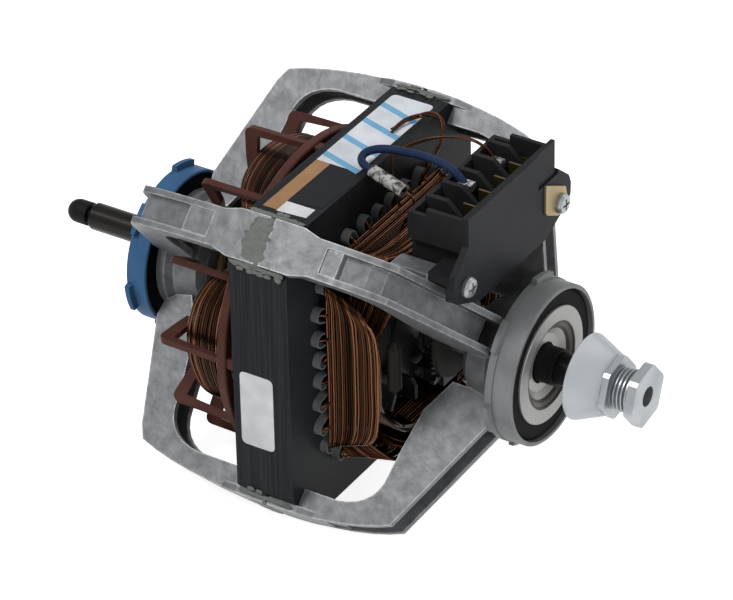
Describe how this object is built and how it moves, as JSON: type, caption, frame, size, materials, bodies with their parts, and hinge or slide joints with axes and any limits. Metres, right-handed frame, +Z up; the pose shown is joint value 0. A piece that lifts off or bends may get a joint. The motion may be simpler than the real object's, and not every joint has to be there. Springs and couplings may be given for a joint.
{
  "type": "dryer motor",
  "caption": "Open-frame split-phase dryer motor with resilient end rings, a ribbed belt pulley with guard, a blower shaft and a centrifugal start switch.",
  "frame": {"origin": "bottom centre of the part's bounding box, below the shaft axis and level with its lower feet", "axes": "+X along the shaft to the drive pulley, -X to the blower end, +Z up through the start switch, +Y to the rear side"},
  "size_m": [0.2604, 0.134, 0.1436],
  "materials": {
    "laminations": "dark varnished steel laminations",
    "slot_liner": "translucent grey film",
    "magnet_wire": "enamelled copper wire",
    "start_wire": "darker enamelled copper wire",
    "insulator": "reddish-brown moulded thermoplastic",
    "bond": "grey-green structural adhesive",
    "casting": "as-cast die-cast aluminium",
    "blue_shell": "sky-blue enamel",
    "ring_rubber": "black moulded rubber",
    "grey_shell": "grey semi-gloss enamel",
    "sleeve_bronze": "sintered bronze",
    "felt": "oil-soaked felt",
    "cap_steel": "satin zinc-plated sheet",
    "switch_black": "black thermoset",
    "switch_cover": "black glass-filled thermoplastic, low gloss",
    "terminal_brass": "brass strip",
    "lever_plastic": "dark moulded nylon",
    "bright_steel": "bright ground steel",
    "zinc": "bright zinc plate",
    "tan_tab": "tan plated strip",
    "protector": "dark sleeved thermal cut-out",
    "blue_insulation": "blue lead insulation",
    "brown_insulation": "brown lead insulation",
    "white_sleeve": "white woven sleeve",
    "rotor_steel": "turned steel laminations",
    "cage_aluminium": "cast aluminium",
    "black_cap": "black vinyl thread protector",
    "washer_phenolic": "phenolic and steel washers",
    "pressed_steel": "zinc-plated pressing",
    "spool_plastic": "dark moulded nylon",
    "weight_steel": "plain steel",
    "spring_steel": "spring wire",
    "black_sleeve": "black rubber slinger",
    "clear_nylon": "translucent natural nylon"
  },
  "bodies": {
    "frame": {"stator_core": "laminations", "slot_liners": "slot_liner", "winding_front": "magnet_wire", "winding_rear": "magnet_wire", "winding_top": "magnet_wire", "winding_bottom": "magnet_wire", "start_winding": "start_wire", "winding_insulator": "insulator", "corner_bonds": "bond", "blower_shield": "casting", "pulley_shield": "casting", "blower_ring_shell": "blue_shell", "blower_ring_rubber": "ring_rubber", "pulley_ring_shell": "grey_shell", "pulley_ring_rubber": "ring_rubber", "blower_bearing": "sleeve_bronze", "pulley_bearing": "sleeve_bronze", "blower_oil_felt": "felt", "pulley_oil_felt": "felt", "blower_bearing_cap": "cap_steel", "pulley_bearing_cap": "cap_steel", "switch_housing": "switch_black", "switch_cover": "switch_cover", "switch_terminals": "terminal_brass", "switch_contacts": "terminal_brass", "lever_pin": "bright_steel", "switch_screws": "zinc", "ground_tab": "tan_tab", "thermal_protector": "protector", "blue_lead": "blue_insulation", "brown_lead": "brown_insulation", "copper_leads": "magnet_wire", "lead_splice": "white_sleeve"},
    "rotor": {"rotor_core": "rotor_steel", "rotor_cage": "cage_aluminium", "shaft": "bright_steel", "thread_cap": "black_cap", "thrust_washers": "washer_phenolic", "actuator_plate": "pressed_steel", "weight_pins": "bright_steel", "weight_springs": "spring_steel", "shaft_collar": "black_sleeve", "belt_guard": "clear_nylon", "drive_pulley": "zinc"},
    "spool": {"actuator_spool": "spool_plastic"},
    "upper_weight": {"upper_weight": "weight_steel"},
    "lower_weight": {"lower_weight": "weight_steel"},
    "lever": {"switch_lever": "lever_plastic"}
  },
  "joints": [
    {"name": "rotor_spin", "type": "hinge", "parent": "frame", "child": "rotor", "pos_m": [0.00255, 0, 0.067], "axis": [1, 0, 0], "continuous": true},
    {"name": "spool_slide", "type": "slide", "parent": "rotor", "child": "spool", "axis": [1, 0, 0], "range_m": [0, 0.0025], "stiffness_N_per_m": 400, "springref_m": -0.002},
    {"name": "upper_weight_swing", "type": "hinge", "parent": "rotor", "child": "upper_weight", "pos_m": [0.03555, 0, 0.083], "axis": [0, -1, 0], "range_deg": [0, 21]},
    {"name": "lower_weight_swing", "type": "hinge", "parent": "rotor", "child": "lower_weight", "pos_m": [0.03555, 0, 0.051], "axis": [0, 1, 0], "range_deg": [0, 21]},
    {"name": "lever_tilt", "type": "hinge", "parent": "frame", "child": "lever", "pos_m": [0.05715, 0, 0.11], "axis": [0, -1, 0], "range_deg": [0, 5.6]}
  ],
  "couplings": [
    {"joint": "upper_weight_swing", "follows": "spool_slide", "rad_per_m": 142.86},
    {"joint": "lower_weight_swing", "follows": "spool_slide", "rad_per_m": 142.86},
    {"joint": "lever_tilt", "follows": "spool_slide", "rad_per_m": 38}
  ]
}
